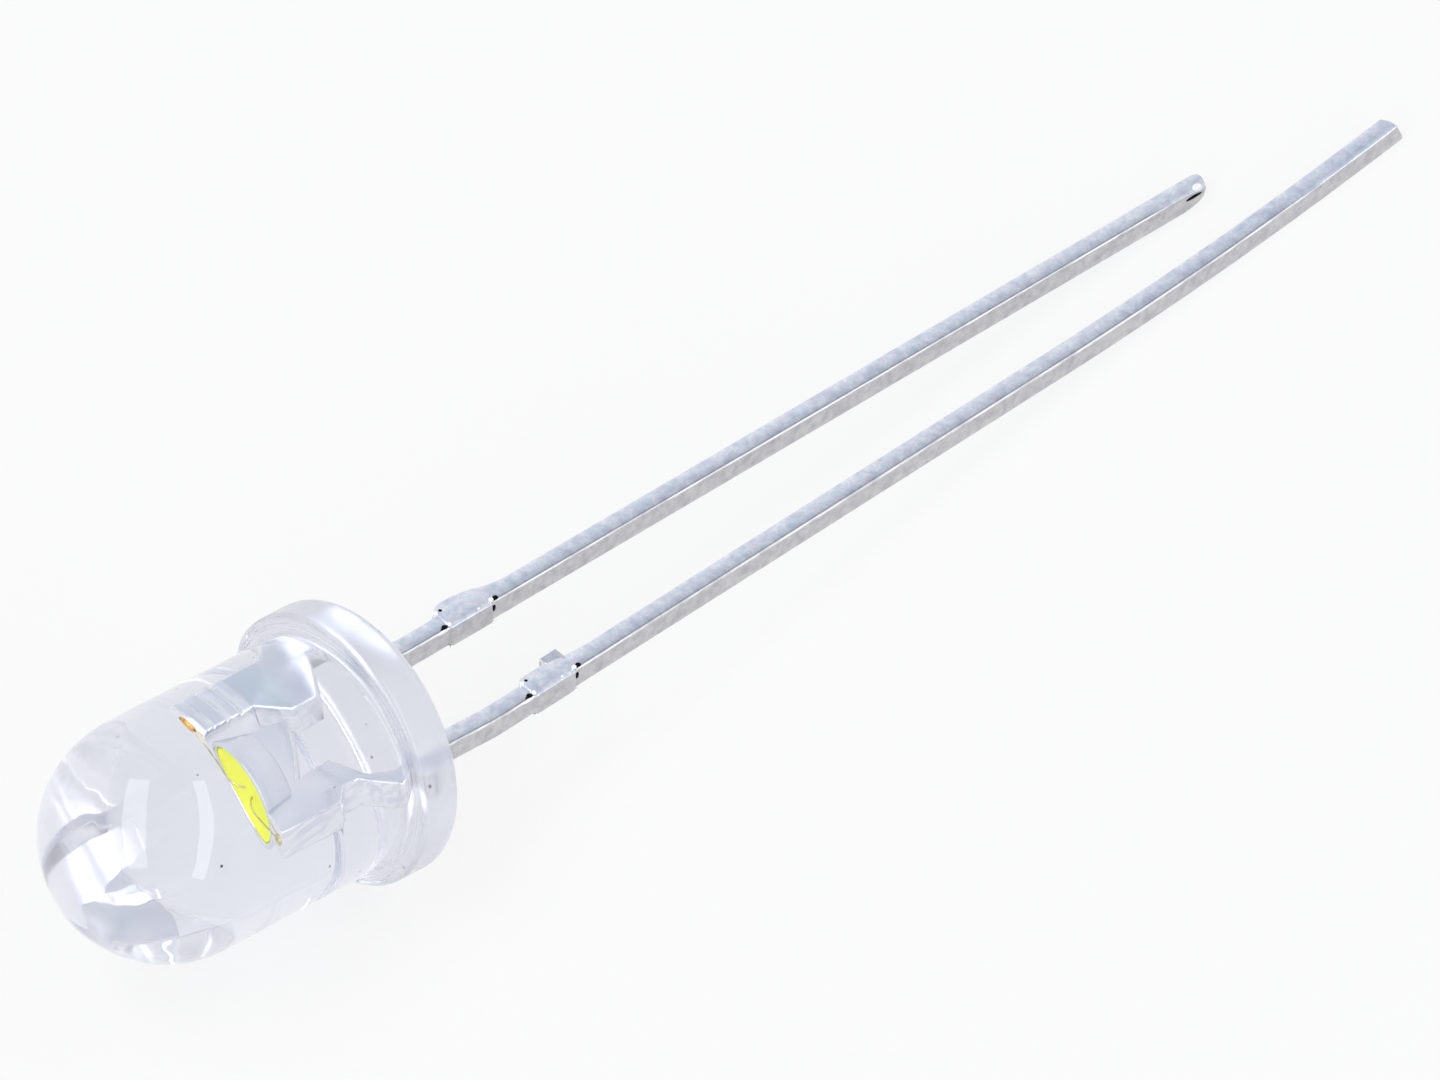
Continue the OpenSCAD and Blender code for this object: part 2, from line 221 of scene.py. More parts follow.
# The cup: its mouth's place and radius, its floor's radius, its depth, wall and base
MOUTH_X, MOUTH_R, FLOOR_R, CUP_DEPTH, CUP_WALL, CUP_BASE = -3.70, 0.62, 0.40, 0.42, 0.08, 0.33
CUP_OUT = MOUTH_R + CUP_WALL
FLOOR_X = MOUTH_X + CUP_DEPTH
FOOT_X = FLOOR_X + CUP_BASE
FILL_X = MOUTH_X + 0.08                             # the phosphor's level in the middle
POST_X, POST_IN, POST_OUT = MOUTH_X + 0.02, CUP_OUT + 0.10, CUP_OUT + 0.58
SHOULDER_X = MOUTH_X + 0.01
IN_Y, OUT_Y = LEAD_Y - HALF_W, LEAD_Y + HALF_W
PLATE_LAP, PLATE_EDGE = 0.06, 0.035                 # lap into the leads outside, edge radius
FOOT_RUN, WAIST_Y, WAIST_RUN, SHOULDER_Y = 0.7, 0.89, 0.25, 1.17
WAIST_X, KNEE_X, KNEE_Y, KNEE_TOP = (-1.5, -1.9), (-1.25, -1.8), 0.33, 0.4
CROOK, HEEL = (0.25, -0.37), (1.01, 0.50)           # inner corner and heel, from the cup's foot
ROOT_RUN, FLAG_X, FLAG_Y, FLAG_LEAN = 0.5, 1.1, 0.55, 0.2
FLAG_END = FOOT_X + 1.2
HEAD_X = FLAG_END - 0.6
MARK_PITCH, MARK_W, MARK_DEPTH = 0.35, 0.09, 0.05   # clamp marks across the post's head


# ---- lens ---------------------------------------------------------------------------------------

def lens_shell():
    """The casting: a profile turned about X, and the flange's rim cut back to y = FLAT_Y.

    Dome (x0 - R cos a, R sin a), barrel, a small fillet, the flange with its two rounded edges, its
    front face in faint rings 0.07 mm apart, and a rear face that dips by 0.03 (1 - (r / 2.4)^2)
    where the resin shrank as it set.
    """
    dome_x = LENS_R - LENS_LEN
    fillet, step = FILLET_R, 0.02
    dome = arc((dome_x, 0), LENS_R, 180, 90, 72)
    barrel_x = np.linspace(dome_x, -FLANGE_T - fillet, 30)[1:]
    barrel = np.stack([barrel_x, 0 * barrel_x + LENS_R], -1)
    front_r = np.linspace(LENS_R + fillet + step, FLANGE_R - FRONT_R - step, 7)
    front = np.stack([-FLANGE_T - 0.008 * np.sin(2 * np.pi * front_r / 0.07), front_r], -1)
    rim_x = np.linspace(FRONT_R - FLANGE_T, -REAR_R, 8)[1:-1]
    rim = np.stack([rim_x, 0 * rim_x + FLANGE_R], -1)
    face_r = np.linspace(2.4, 0, 13)
    face = np.stack([-0.03 * (1 - (face_r / 2.4) ** 2), face_r], -1)
    profile = np.concatenate([
        dome, barrel, arc((-FLANGE_T - fillet, LENS_R + fillet), fillet, -90, 0, 4)[1:], front,
        arc((FRONT_R - FLANGE_T, FLANGE_R - FRONT_R), FRONT_R, 180, 90, 5), rim,
        arc((-REAR_R, FLANGE_R - REAR_R), REAR_R, 90, 0, 9), face])
    p, f = revolve(profile, 256)
    p[:, 1] = np.minimum(p[:, 1], FLAT_Y)      # only the flange reaches that far
    return p, f


# ---- leads outside the lens ---------------------------------------------------------------------

def lead_path(lead, s):
    """Middle, side, up and heading of a lead at the lengths s along it.

    Heading (cos p cos q, cos p sin q, sin p): the side angle q grows by 1/MID_R per mm in the side
    bend, then the climb p by 1/MID_R in the upward bend and by 1/CURL_R along the curled end; the
    middle is the heading's integral.
    """
    step = 0.01
    fine = np.arange(0, lead["length"] + step, step)
    mid = fine + step / 2
    side_len = MID_R * math.radians(lead["toe"])
    q = np.clip((mid - BEND_AT) / MID_R, 0, math.radians(lead["toe"]))
    p = np.clip((mid - BEND_AT - side_len) / MID_R, 0, math.radians(lead["bend"]))
    if lead["curl"]:
        p = p + np.clip((mid - lead["length"] + lead["curl"]) / CURL_R, 0, None)
    head = np.stack([np.cos(p) * np.cos(q), np.cos(p) * np.sin(q), np.sin(p)], -1)
    middle = np.concatenate([np.zeros((1, 3)), np.cumsum(head, 0)[:-1] * step]) + (0, lead["y"], 0)
    side = np.stack([-np.sin(q), np.cos(q), 0 * q], -1)
    i = np.clip(np.round(np.asarray(s) / step).astype(int), 0, len(fine) - 1)
    point = middle[i] + (np.asarray(s) - fine[i])[:, None] * head[i]
    return point, side[i], np.cross(head, side)[i], head[i]


def on_lead(lead, s, shell):
    """A shell given as [along, side, up] from the lead's middle at length s, in the LED's frame."""
    middle, side, up, head = lead_path(lead, [s])
    q, faces = shell
    return middle + q[:, :1] * head + q[:, 1:2] * side + q[:, 2:] * up, faces


# Trim of a point of the metal: painted shade in a pit, painted shade in a groove, the plain
# surface, a burnished edge with a painted highlight, and a burr with a painted glint
PIT, GROOVE, PLAIN, BRIGHT, GLINT = 0.0, 0.22, 0.5, 1.0, 1.5


def lead_section(edge, trim, shade=(0.49, 0.47, 0.44, 0.40)):
    """[y, z] and trim round a lead's section, counter-clockwise seen from the tips.

    It starts at -y -z. Three corners are quarter circles. The fourth, at -y +z, is given by `edge`,
    from that corner, and `trim`. The upper face darkens towards it by `shade`, a painted shade.
    Between corners a face swells by SWELL (1 - u^2), |u| < 1.
    """
    u = np.array([-0.6, -0.2, 0.2, 0.6])[:, None]
    w, t = HALF_W, HALF_T
    last = np.asarray(edge, float) + (-w, t - TOP_FALL)
    corners = [arc((0.015 - w, 0.015 - t), 0.015, 180, 270, 4),
               arc((w - 0.03, 0.03 - t), 0.03, 270, 360, 4),
               arc((w - 0.02, t - 0.02), 0.02, 0, 90, 4), last]
    out, tones = [], []
    for corner, following in zip(corners, corners[1:] + corners[:1]):
        a, b = corner[-1], following[0]
        normal = np.array([(b - a)[1], -(b - a)[0]]) / np.linalg.norm(b - a)
        out += [corner, a + (b - a) * (u + 1) / 2 + normal * SWELL * (1 - u * u)]
        tones += [trim if corner is last else np.full(len(corner), PLAIN)]
        # painted shade: the upper face darkens towards the drawn edge
        tones += [shade if following is last else np.full(len(u), PLAIN)]
    return np.concatenate(out), np.concatenate(tones)


# The drawn edge, [y, z] from its corner: a shallow groove, then a burnished ridge over the side
LIP = [(0.085, 0.001), (0.070, -0.003), (0.050, -0.011), (0.040, -0.011), (0.031, 0.002),
       (0.024, 0.001), (0.012, -0.013), (0.003, -0.027), (0.0, -0.040)]
# LIP_TRIM paints shade into and beside the groove and a highlight onto the burnished ridge
LIP_TRIM = [0.36, 0.28, GROOVE, GROOVE, 0.6, BRIGHT, BRIGHT, 0.9, PLAIN]
SOFT_EDGE = arc((0.04, -0.04), 0.04, 90, 180, 8)


def land(lead, s):
    """What is left of the dam bar: how far it stands out of the lead at the lengths s.

    Outer side, inner side and each rolled face, then how much of the drawn edge is lost, there and
    near the tip. Each eases in and out by u^2 (3 - 2 u) over a run centred on the land's body end
    and on its tip end. The outer side rises over the lead's own `steep` and runs out slowly.
    """
    d = s - DAM_AT

    def between(body_run, tip_run):
        rise = np.clip((d + LAND_BODY) / body_run + 0.5, 0, 1)
        fall = np.clip((LAND_TIP - d) / tip_run + 0.5, 0, 1)
        return rise ** 2 * (3 - 2 * rise) * fall ** 2 * (3 - 2 * fall)

    fade = 1.6 if lead is SHORT else 3.5
    at_tip = 0.9 * np.clip((s - lead["length"]) / (0.4 * fade) + 2.5, 0, 1)
    outer = lead["land"] * between(lead["steep"], LAND_TAIL)
    hides = np.maximum(between(0.1, 0.4), at_tip)
    return outer, LAND_IN * between(0.1, 0.1), LAND_LIFT * between(0.1, 0.5), hides


def lead_strip(lead):
    """A lead from the flange to its cut tip: its section carried along its path, wider at its land.

    The short lead's tip: with f = 1 - sqrt(1 - d^2) and d from 0 to 1, the underside draws up by
    0.36 f over TIP_DRAW, the upper face rolls down by 0.14 d^2 on its inner side over the last mm,
    and the width shrinks by a share of 0.45 f over the last 0.22 mm. The long lead's tip is cut at
    a slant, so a point of its end lies further along by 0.06 - 0.05 v - 0.08 w - 0.05 v^2, where v
    and w are y and z over half the section's size, and its section shrinks by a share of 0.22 f
    over the last 0.06 mm. The stock is uneven by a few microns.
    """
    length = lead["length"]
    near = length - TIP_DRAW + TIP_DRAW * np.sin(np.linspace(0, np.pi / 2, 24))
    s = np.concatenate([np.arange(-0.06, 2.9, 0.08), np.arange(2.9, 5.1, 0.025),
                        np.arange(5.1, length - TIP_DRAW, 0.08), near])
    middle, side, up, head = lead_path(lead, s)
    drawn, drawn_trim = lead_section(LIP, LIP_TRIM)
    soft, soft_trim = lead_section(SOFT_EDGE, np.full(9, PLAIN))
    outer, inner, lift, hides = (v[:, None] for v in land(lead, s))
    y = drawn[:, 0] + (soft[:, 0] - drawn[:, 0]) * hides
    z = drawn[:, 1] + (soft[:, 1] - drawn[:, 1]) * hides
    trim = drawn_trim + (soft_trim - drawn_trim) * hides
    y = y * (1 + np.where(y > 0, outer, inner) / HALF_W)
    z = z * (1 + lift / HALF_T)
    along = 0 * z

    def over(run):
        return np.clip((s[:, None] - length + run) / run, 0, 1)

    if lead is SHORT:
        z = z + 0.36 * (1 - np.sqrt(1 - over(TIP_DRAW) ** 2)) * (HALF_T - z) / (2 * HALF_T)
        z = z - 0.14 * over(1.0) ** 2 * np.clip(-y / HALF_W, 0, 1) * np.clip(z / HALF_T, 0, 1)
        y = y * (1 - 0.45 * (1 - np.sqrt(1 - over(0.22) ** 2)))
    else:
        v, w = y / HALF_W, z / HALF_T
        along = (0.06 - 0.05 * v - 0.08 * w - 0.05 * v * v) * over(TIP_DRAW)
        round_off = 1 - np.sqrt(1 - over(0.06) ** 2)
        y, z = y * (1 - 0.22 * round_off), z * (1 - 0.22 * round_off)
    p = (middle[:, None] + along[..., None] * head[:, None]
         + y[..., None] * side[:, None] + z[..., None] * up[:, None])
    out = p - middle[:, None]
    out = out / np.linalg.norm(out, axis=-1, keepdims=True)
    p = p + out * 0.002 * (ripple(p, 0.8, lead["y"]) - 1)[..., None]
    return capped(p), trim.ravel()


def stub():
    """The dam bar's square end that the punch left on the long lead: a painted highlight on its
    lens side, its other faces darkened.
    """
    left, right, root, end = 0.11, 0.55, HALF_W - 0.06, HALF_W + 0.29
    outline = [(left, root), (right, root), (right, end), (left, end)]
    p, f = plate(outline, -HALF_T, HALF_T + 0.012, 0.025)
    # BRIGHT paints a highlight on the lens-side end; 0.36 darkens the other faces
    return on_lead(LONG, DAM_AT, (p, f)), np.where(p[:, 0] < left + 0.01, BRIGHT, 0.36)


def punch_marks(lead):
    """Burrs with painted glints and pits of painted shade that the punch left, as (shell, trim).

    On the upper face each corner of the land but the outer one at the tip end has a burr of radius
    r with a painted glint, and 2 r from it along the lead a flat dark bead, a pit's painted shade.
    A burr of half that radius, with a painted glint, sits a third of the way back from the tip end.
    The lower edge has a spike with a painted glint at each end, the sheared side a dark patch of
    painted shade at the tip end, and the drawn edge swells into a wedge 6 r long before the land,
    with a painted highlight. The short lead's tip has a burr with a painted glint at its corner
    over a dark line of painted shade, 4 r shorter than the draw.
    """
    r, body, tip = BURR_R, DAM_AT - LAND_BODY, DAM_AT + LAND_TIP
    top, low, side = HALF_T + LAND_LIFT / 2, -HALF_T - LAND_LIFT / 2, -HALF_W - LAND_IN
    # GLINT beads carry a painted glint, PIT beads painted shade
    marks = [((tip - (tip - body) / 3, side + r, HALF_T + LAND_LIFT, r / 2, r / 2, r / 2), GLINT),
             ((body, side, low, 0.8 * r, 0.6 * r, 0.6 * r), GLINT),
             ((tip, side, low, 0.8 * r, 0.6 * r, 0.6 * r), GLINT),
             ((tip, side, HALF_T / 2, 0.7 * r, 0.3 * r, 1.5 * r), PIT),
             ((body - 3 * r, -HALF_W, HALF_T - r / 2, 3 * r, 0.5 * r, 0.7 * r), GLINT)]
    outer, inner = HALF_W + lead["land"] / 2 - r, r - HALF_W
    for s, y, way in ((body, outer, 1), (body, inner, -1), (tip, inner, 1)):
        marks += [((s, y, top, r, 0.9 * r, 0.8 * r), GLINT),
                  ((s + way * 2 * r, y, top, r, r, 0.3 * r), PIT)]
    if lead is SHORT:
        end = lead["length"]
        middle, reach = end - TIP_DRAW / 2 - r, TIP_DRAW / 2 - 2 * r
        marks += [((end - HALF_T, -HALF_W / 2, HALF_T - r, 2 * r, 1.4 * r, r), GLINT),
                  ((middle, -HALF_W, HALF_T / 3, reach, 0.5 * r, 0.7 * r), PIT)]
    return [(on_lead(lead, s, bead((0, y, z), radii, 10)), trim)
            for (s, y, z, *radii), trim in marks]


# ---- lead frame inside the lens -----------------------------------------------------------------

# The anvil's outline: its outer side, under the cup, then its inner side back to the lead
ANVIL = [
    (PLATE_LAP, -OUT_Y), (-FOOT_RUN, -OUT_Y), (WAIST_X[0], -WAIST_Y), (WAIST_X[1], -WAIST_Y),
    (WAIST_X[1] - WAIST_RUN, -SHOULDER_Y), (SHOULDER_X, -SHOULDER_Y), (SHOULDER_X, -MOUTH_R - 0.03),
    (FOOT_X - 0.15, -0.1), (FOOT_X, CUP_OUT - 0.12), (FOOT_X + HEEL[0], HEEL[1]),
    (FOOT_X + CROOK[0], CROOK[1]), (KNEE_X[1] - KNEE_TOP, -KNEE_Y), (KNEE_X[1], -KNEE_Y),
    (KNEE_X[0], -WAIST_Y), (-FOOT_RUN, -IN_Y), (PLATE_LAP, -IN_Y)]
# The post's: its inner side with the flag, the root of the head, then its outer side
POST = [
    (PLATE_LAP, IN_Y), (-ROOT_RUN, IN_Y), (-FLAG_X, FLAG_Y), (FLAG_END, FLAG_Y),
    (HEAD_X, POST_IN), (HEAD_X - 0.04, POST_IN), (HEAD_X - 0.04, POST_OUT),
    (-FLAG_X - FLAG_LEAN, POST_OUT), (-FLAG_X + FLAG_LEAN, OUT_Y), (PLATE_LAP, OUT_Y)]


def stamped(outline):
    """A plate of the lead frame and its trim: long edges burnished by the punch, with a painted
    highlight, faces plain.
    """
    shell = plate(outline, -HALF_T, HALF_T, PLATE_EDGE)
    # BRIGHT rings: a painted highlight on the rounded long edges
    rings = np.full((len(shell[0]) // len(outline), len(outline)), BRIGHT)
    rings[[0, -1]] = PLAIN
    return shell, rings.ravel()


def post_head():
    """The post's head: its side view, grooved across the top by the clamp, carried along Y.

    A groove's wall towards the lead rises at 45 degrees. The clamp burnished the grooves and the
    shear the end, whose upper edge it left blunt; both carry a painted highlight, full white in the
    grooves.
    """
    left = POST_X + MARK_PITCH * np.arange(1, 4) - MARK_W
    groove = np.array([
        (0, 0), (0.02, -MARK_DEPTH), (MARK_W - MARK_DEPTH, -MARK_DEPTH), (MARK_W, 0)])
    grooves = (groove[None] + np.stack([left, 0 * left + HALF_T], -1)[:, None]).reshape(-1, 2)
    fall, run = 0.08, 0.09
    ends = [(HEAD_X, HALF_T), (HEAD_X, -HALF_T), (POST_X, -HALF_T), (POST_X, HALF_T - fall),
            (POST_X + run, HALF_T)]
    p, f = plate(np.concatenate([grooves, ends]), POST_IN, POST_OUT, 0.03)
    # GLINT and BRIGHT: painted highlights in the grooves and on the end
    trim = [PLAIN, GLINT, GLINT, GLINT] * 3 + [PLAIN, PLAIN, BRIGHT, BRIGHT, BRIGHT]
    return flipped((p[:, [0, 2, 1]], f)), np.tile(trim, len(p) // len(trim))


def cup():
    """The cup, from its floor: inner cone, rim rounded to half the wall, outer cone and foot."""
    rim_x, mid = MOUTH_X + CUP_WALL / 2, MOUTH_R + CUP_WALL / 2
    out_x = np.linspace(rim_x, FOOT_X - 0.03, 7)[1:]
    outer = np.stack([out_x, CUP_OUT - 0.09 * (out_x - MOUTH_X) / (FOOT_X - MOUTH_X)], -1)
    return revolve(np.concatenate([
        [(FLOOR_X, 0), (FLOOR_X, FLOOR_R), (FLOOR_X - 0.02, FLOOR_R + 0.012)],
        arc((rim_x, mid), CUP_WALL / 2, 270, 90, 10),
        outer, [(FOOT_X, CUP_OUT - 0.13), (FOOT_X, 0)]]), 96)


# ---- phosphor, chip wires -----------------------------------------------------------------------

def phosphor_fill():
    """The fill wets the cup nearly to its mouth, x = FILL_X - 0.05 + 0.04 (1 - (r/R)^2).

    Below its top it is the cup's own cone.
    """
    wet_x = FILL_X - 0.05
    wet_r = MOUTH_R - (MOUTH_R - FLOOR_R) * (wet_x - MOUTH_X) / CUP_DEPTH
    r = np.linspace(0, wet_r, 14)
    top = np.stack([wet_x + 0.04 * (1 - (r / wet_r) ** 2), r], -1)
    return revolve(np.concatenate([top, [(FLOOR_X, FLOOR_R), (FLOOR_X, 0)]]), 96)


def tube(path, radius, n=12):
    """A round wire along a path in the XY plane.

    Ring i is path_i + radius (cos a N_i + sin a Z), with N across the path.
    """
    t = np.gradient(path, axis=0)
    t /= np.linalg.norm(t, axis=1)[:, None]
    across = np.cross([0.0, 0.0, 1.0], t)
    a = 2 * np.pi * np.arange(n) / n
    ring = np.cos(a)[:, None] * across[:, None] + np.sin(a)[:, None] * np.array([0.0, 0.0, 1.0])
    return capped(path[:, None] + radius * ring)


WIRE_R, LOOP_R, WIRE_FALL, PAD_Y = 0.0175, 0.25, math.radians(10), 0.08
CHIP_X = FLOOR_X - 0.12
POST_BOND = (POST_X, POST_IN + 0.25)
ANVIL_BOND = (SHOULDER_X, CUP_OUT + 0.26)


def bond_wire(bond, sign):
    """A gold wire with its ball and its pressed foot, mirrored in Y by sign.

    Up from the pad at y = PAD_Y, over a bend of radius LOOP_R through 90 degrees and WIRE_FALL, and
    down to the foot.
    """
    top = math.pi / 2 + WIRE_FALL
    across = bond[1] - PAD_Y - LOOP_R * (1 - math.cos(top))
    fall = across / math.sin(top)
    foot_x = bond[0] - WIRE_R
    bend_x = foot_x + LOOP_R * math.sin(top) + fall * math.cos(top)
    rise = np.stack([np.linspace(CHIP_X, bend_x, 6), np.full(6, PAD_Y)], -1)
    a = np.linspace(0, top, 22)[1:]
    loop = np.stack([bend_x - LOOP_R * np.sin(a), PAD_Y + LOOP_R * (1 - np.cos(a))], -1)
    last = loop[-1] + (np.array([foot_x, bond[1]]) - loop[-1]) * np.linspace(0, 1, 8)[1:, None]
    path = np.concatenate([rise, loop, last])
    wire = tube(np.c_[path, np.zeros(len(path))], WIRE_R)
    ball = bead((CHIP_X - 0.015, PAD_Y, 0), (0.018, 0.045, 0.045))
    foot = bead((bond[0] - 0.004, bond[1] + 0.02, 0), (0.06, 0.10, 0.10))
    p, f, trim = join([(wire, PLAIN), (ball, PLAIN), (foot, BRIGHT if sign > 0 else PLAIN)])
    return (p, f, trim) if sign > 0 else (*flipped((p * (1, -1, 1), f)), trim)


# ---- pieces -------------------------------------------------------------------------------------

lens = mesh_object("lens_shell", *lens_shell(), 50)
anvil_points, anvil_faces, anvil_trim = join([
    stamped(ANVIL), (cup(), PLAIN), lead_strip(LONG), stub(), *punch_marks(LONG)])
anvil = mesh_object("anvil_strip", anvil_points, anvil_faces, 40, anvil_trim)
post_points, post_faces, post_trim = join([
    stamped(POST), post_head(), lead_strip(SHORT), *punch_marks(SHORT)])
post = mesh_object("post_strip", post_points, post_faces, 40, post_trim)
phosphor = mesh_object("phosphor_cast", *phosphor_fill(), 50)
post_wire_points, post_wire_faces, post_wire_trim = bond_wire(POST_BOND, 1)
post_gold = mesh_object("post_wire_gold", post_wire_points, post_wire_faces, 50, post_wire_trim)
anvil_wire_points, anvil_wire_faces, anvil_wire_trim = bond_wire(ANVIL_BOND, -1)
anvil_gold = mesh_object("anvil_wire_gold", anvil_wire_points, anvil_wire_faces, 50,
                         anvil_wire_trim)


# ---- materials ----------------------------------------------------------------------------------

def material(name):
    """A new material: itself, its shader and add(), which adds a node with its links."""
    m = bpy.data.materials.new(name)
    m.use_nodes = True
    return m, m.node_tree.nodes["Principled BSDF"], adder(m.node_tree)


def adder(tree):
    """The function that adds a node to this tree.

    Its inputs are {socket: value or output}, its props the node's own settings.
    """
    def add(kind, inputs=None, **props):
        n = tree.nodes.new("ShaderNode" + kind)
        for k, v in props.items():
            setattr(n, k, v)
        for k, v in (inputs or {}).items():
            if isinstance(v, bpy.types.NodeSocket):
                tree.links.new(v, n.inputs[k])
            else:
                n.inputs[k].default_value = v
        return n

    add.link = tree.links.new
    return add


def ramp(add, value, stops):
    """A colour ramp over a value, with stops (position, colour)."""
    n = add("ValToRGB", {"Fac": value})
    first, *between, last = stops
    n.color_ramp.elements[0].position, n.color_ramp.elements[0].color = first
    n.color_ramp.elements[1].position, n.color_ramp.elements[1].color = last
    for position, colour in between:
        n.color_ramp.elements.new(position).color = colour
    return n.outputs["Color"]


def along_axis(add):
    """Object coordinates, and how far along the LED's axis they lie: less than 0 in the lens."""
    co = add("TexCoord").outputs["Object"]
    return co, add("VectorMath", {0: co, 1: AXIS}, operation="DOT_PRODUCT").outputs["Value"]


def mixed(add, factor, a, b, how="MIX"):
    """Two colours mixed by a factor."""
    return add("Mix", {"Factor": factor, 6: a, 7: b}, data_type="RGBA", blend_type=how).outputs[2]


SPECK_PITCH, SPECK_R = 0.7, 0.035     # spacing and radius of the specks in the resin, in mm


def clear_epoxy():
    """Water-clear epoxy cast in a polished mould: glossy, very pale lavender, a little wavy.

    The flange was cast against the carrier, not the polished mould, so it is a little hazy. The tip
    of the dome, where the resin shrank most, is the most uneven. Sparse specks of dust and dye are
    cells SPECK_PITCH apart, of which only those that happen to lie in the skin show.
    """
    m, s, add = material("clear_epoxy")
    s.inputs["IOR"].default_value = 1.53
    s.inputs["Transmission Weight"].default_value = 1.0
    co, x = along_axis(add)
    cells = add("TexVoronoi", {"Vector": co, "Scale": 1 / (SPECK_PITCH * MM)}).outputs
    r = SPECK_R / SPECK_PITCH
    speck = add("MapRange", {"Value": cells["Distance"],
                             "From Min": 1.2 * r, "From Max": 0.7 * r}).outputs["Result"]
    kind = add("SeparateXYZ", {0: cells["Color"]}).outputs["X"]
    dust = ramp(add, kind, [(0.25, srgb("101018")), (0.5, srgb("5a5a60")), (0.9, srgb("44508c"))])
    add.link(mixed(add, speck, srgb("e7e9f2"), dust), s.inputs["Base Color"])
    haze = add("MapRange", {"Value": x, "From Min": -0.00105, "From Max": -0.00095,
                            "To Min": 0.0, "To Max": 0.22})
    tip = add("MapRange", {"Value": x, "From Min": -0.0076, "From Max": -0.0060,
                           "To Min": 0.045, "To Max": 0.0})
    rough = add("Math", {0: haze.outputs["Result"], 1: tip.outputs["Result"]},
                operation="ADD").outputs[0]
    add.link(rough, s.inputs["Roughness"])
    wave = add("TexNoise", {"Vector": co, "Scale": 700.0,
                            "Detail": 2.0, "Roughness": 0.4}).outputs["Fac"]
    uneven = add("MapRange", {"Value": x, "From Min": -0.0076, "From Max": -0.0055,
                              "To Min": 0.45, "To Max": 0.10})
    bump = add("Bump", {"Height": wave, "Strength": uneven.outputs["Result"], "Distance": 0.0001})
    add.link(bump.outputs["Normal"], s.inputs["Normal"])
    return m


